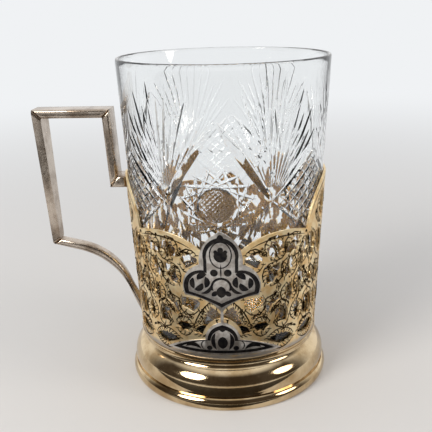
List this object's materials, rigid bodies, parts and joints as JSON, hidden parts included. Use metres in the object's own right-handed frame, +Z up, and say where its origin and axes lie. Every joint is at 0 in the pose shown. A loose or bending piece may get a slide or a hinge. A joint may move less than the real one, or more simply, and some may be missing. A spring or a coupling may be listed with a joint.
{
  "type": "tea glass holder",
  "caption": "Podstakannik: pierced gilt sleeve on a stepped foot with silver and niello plaques and a squared strap handle, holding a loose cut-crystal tea glass that lifts out.",
  "frame": {"origin": "centre of the foot, on the glass's axis, in the plane that the foot stands on", "axes": "+Z up along the glass's axis, -Y towards the front medallion, -X towards the handle"},
  "size_m": [0.0986, 0.0694, 0.11],
  "materials": {
    "crystal": "clear lead crystal, mitre cut and polished",
    "gilt": "fire-gilt silver, worn, polished on the foot",
    "plaque_silver": "silver, satin, lightly tarnished",
    "handle_silver": "silver, polished, brown tarnish",
    "niello": "black niello, satin"
  },
  "bodies": {
    "holder": {"openwork_sleeve": "gilt", "front_medallion": "plaque_silver", "front_medallion_niello": "niello", "front_cartouche": "plaque_silver", "front_cartouche_niello": "niello", "back_medallion": "plaque_silver", "back_medallion_niello": "niello", "back_cartouche": "plaque_silver", "back_cartouche_niello": "niello", "floor_plate": "plaque_silver", "foot": "gilt", "foot_rim": "gilt", "handle_strut": "handle_silver", "handle_riser": "handle_silver", "handle_top_bar": "handle_silver", "handle_outer_bar": "handle_silver", "handle_lower_arm": "handle_silver"},
    "glass": {"tea_glass": "crystal"}
  },
  "joints": [
    {"name": "glass_lift", "type": "slide", "parent": "holder", "child": "glass", "axis": [0, 0, 1], "range_m": [0, 0.08]}
  ]
}
